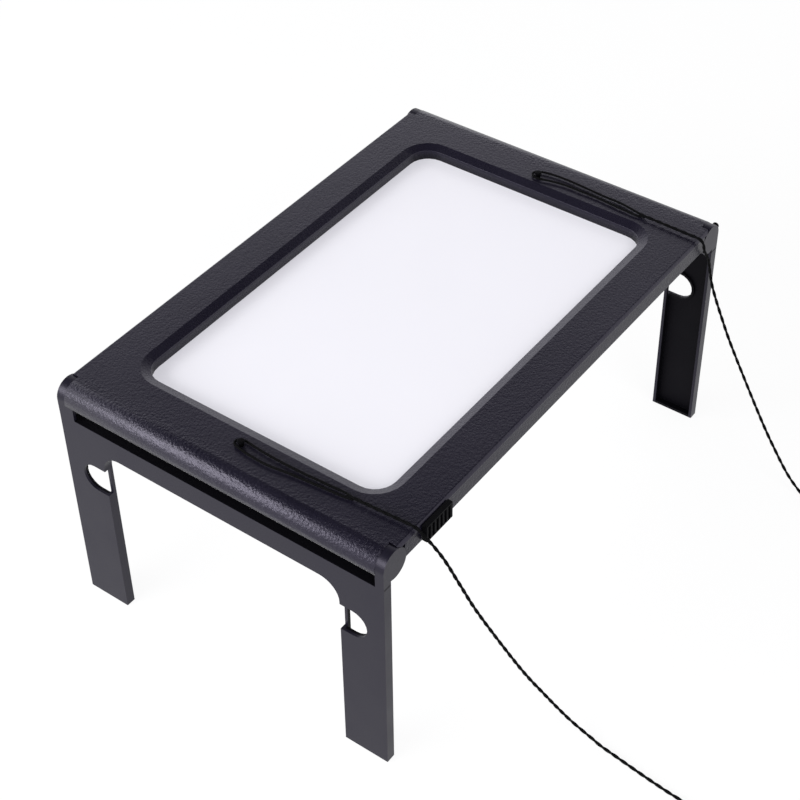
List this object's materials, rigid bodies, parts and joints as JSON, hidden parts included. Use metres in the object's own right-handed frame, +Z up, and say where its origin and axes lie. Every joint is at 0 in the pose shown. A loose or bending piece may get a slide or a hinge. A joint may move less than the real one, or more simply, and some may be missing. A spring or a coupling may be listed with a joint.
{
  "type": "folding-leg full-page magnifier",
  "caption": "Full-page reading magnifier: rectangular lens frame standing on two folding end panels, with a ribbed light switch, hidden lamps and a neck cord.",
  "frame": {"origin": "centre of the bottom of the box around everything but the cord, on the surface the legs stand on", "axes": "+X along the frame towards the rear leg panel, +Y across it away from the switch's side, +Z up out of the lens"},
  "size_m": [0.3082, 0.4073, 0.1479],
  "materials": {
    "frame_plastic": "fine grained charcoal moulding with a slight sheen",
    "clear_lens": "clear flat lens sheet, faintly lavender",
    "screw_steel": "zinc-plated small screws",
    "board_green": "small circuit board",
    "led_yellow": "clear lamp with a yellow phosphor, shown off",
    "switch_plastic": "plain black moulding",
    "cell_steel": "nickel-plated cells and contact strips",
    "wire_red": "red insulated wire",
    "wire_black": "black insulated wire",
    "pin_steel": "steel pins",
    "cord_black": "thin black round cord, two strands twisted"
  },
  "bodies": {
    "frame": {"top_frame": "frame_plastic", "lens": "clear_lens", "bottom_cover": "frame_plastic", "cover_screw_1": "screw_steel", "cover_screw_2": "screw_steel", "cover_screw_3": "screw_steel", "cover_screw_4": "screw_steel", "cover_screw_5": "screw_steel", "cover_screw_6": "screw_steel", "cover_screw_7": "screw_steel", "cover_screw_8": "screw_steel", "led_board_1": "board_green", "led_board_2": "board_green", "led_board_3": "board_green", "led_board_4": "board_green", "led_1": "led_yellow", "led_2": "led_yellow", "led_3": "led_yellow", "led_4": "led_yellow", "battery_holder": "switch_plastic", "battery_cell_1": "cell_steel", "battery_cell_2": "cell_steel", "battery_cell_3": "cell_steel", "contact_strip_near": "cell_steel", "contact_strip_far": "cell_steel", "switch_body": "switch_plastic", "wire_near": "wire_red", "wire_far": "wire_black", "hinge_pin_front_near": "pin_steel", "hinge_pin_front_far": "pin_steel", "hinge_pin_rear_near": "pin_steel", "hinge_pin_rear_far": "pin_steel", "cord_peg_front": "switch_plastic", "cord_peg_rear": "switch_plastic", "cord_loop_front": "cord_black", "cord_loop_rear": "cord_black", "neck_cord": "cord_black"},
    "front_leg": {"front_leg_panel": "frame_plastic"},
    "rear_leg": {"rear_leg_panel": "frame_plastic", "cheek_stud": "frame_plastic"},
    "switch": {"switch_cap": "switch_plastic"},
    "door": {"battery_door": "switch_plastic"}
  },
  "joints": [
    {"name": "front_leg_fold", "type": "hinge", "parent": "frame", "child": "front_leg", "pos_m": [-0.14395, 0, 0.1359], "axis": [0, -1, 0], "range_deg": [0, 90]},
    {"name": "rear_leg_fold", "type": "hinge", "parent": "frame", "child": "rear_leg", "pos_m": [0.14395, 0, 0.1359], "axis": [0, 1, 0], "range_deg": [0, 90]},
    {"name": "switch_slide", "type": "slide", "parent": "frame", "child": "switch", "axis": [1, 0, 0], "range_m": [0, 0.003]},
    {"name": "battery_door_slide", "type": "slide", "parent": "frame", "child": "door", "axis": [1, 0, 0], "range_m": [0, 0.02]}
  ]
}
